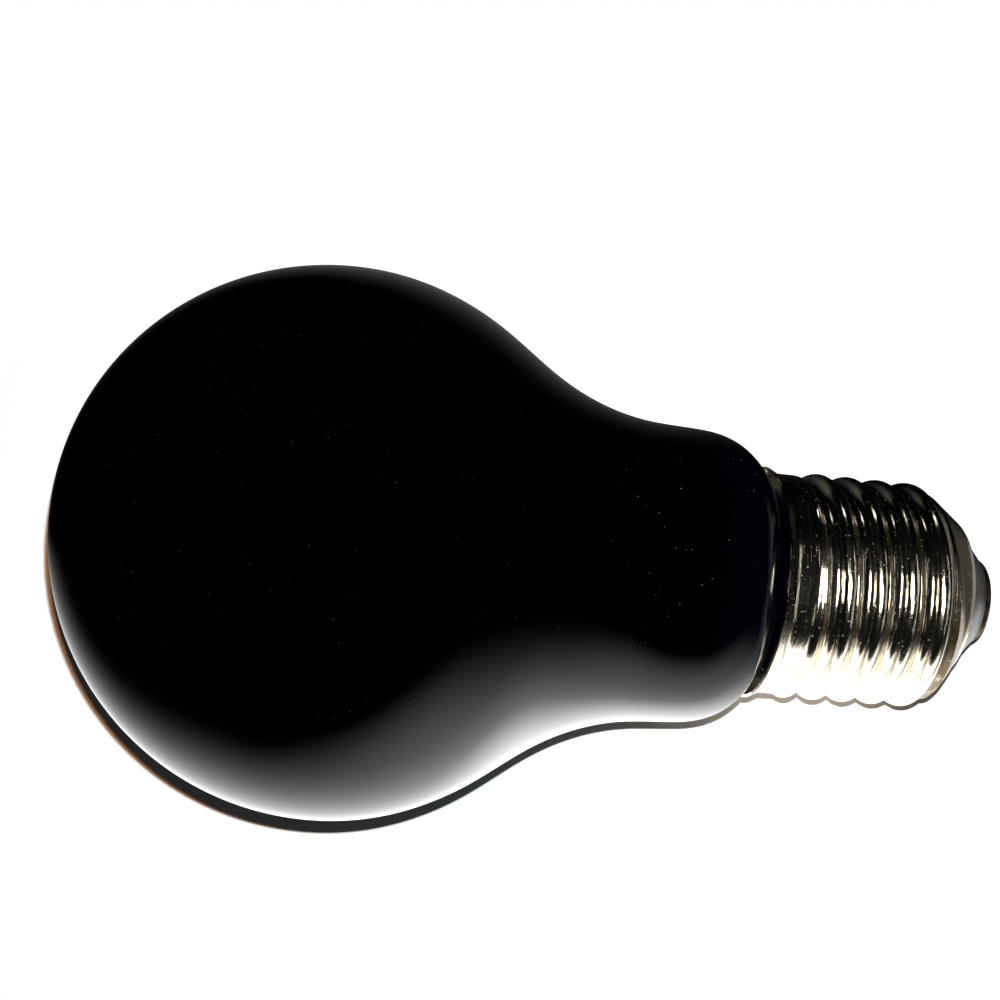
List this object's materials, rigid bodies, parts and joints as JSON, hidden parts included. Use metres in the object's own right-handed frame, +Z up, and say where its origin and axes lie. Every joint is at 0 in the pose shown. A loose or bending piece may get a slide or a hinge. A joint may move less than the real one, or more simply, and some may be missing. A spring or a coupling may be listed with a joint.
{
  "type": "black-light bulb",
  "caption": "Dark glass globe bulb with a waisted neck and a nickel-plated screw cap, giving long-wave ultraviolet light in a standard lamp holder.",
  "frame": {"origin": "on the floor under the middle of the lying bulb, at the bottom centre of its bounding box", "axes": "+X along the floor from the globe to the cap, +Z up; the bulb's own axis dips 14.8 degrees below +X"},
  "size_m": [0.1038, 0.06, 0.06],
  "materials": {
    "black_glass": "polished, too dark to see through",
    "nickel_plate": "bright nickel plate with fine pits",
    "insulator_glass": "satin black pressed glass",
    "contact_brass": "dull",
    "solder": "soft solder, satin",
    "cement": "matt basing cement",
    "lead_wire": "drawn copper"
  },
  "bodies": {
    "root": {"glass_envelope": "black_glass", "screw_shell": "nickel_plate", "cap_insulator": "insulator_glass", "centre_contact": "contact_brass", "solder_button": "solder", "basing_cement": "cement", "centre_wire": "lead_wire", "side_wire": "lead_wire", "rim_solder": "solder"}
  },
  "joints": []
}
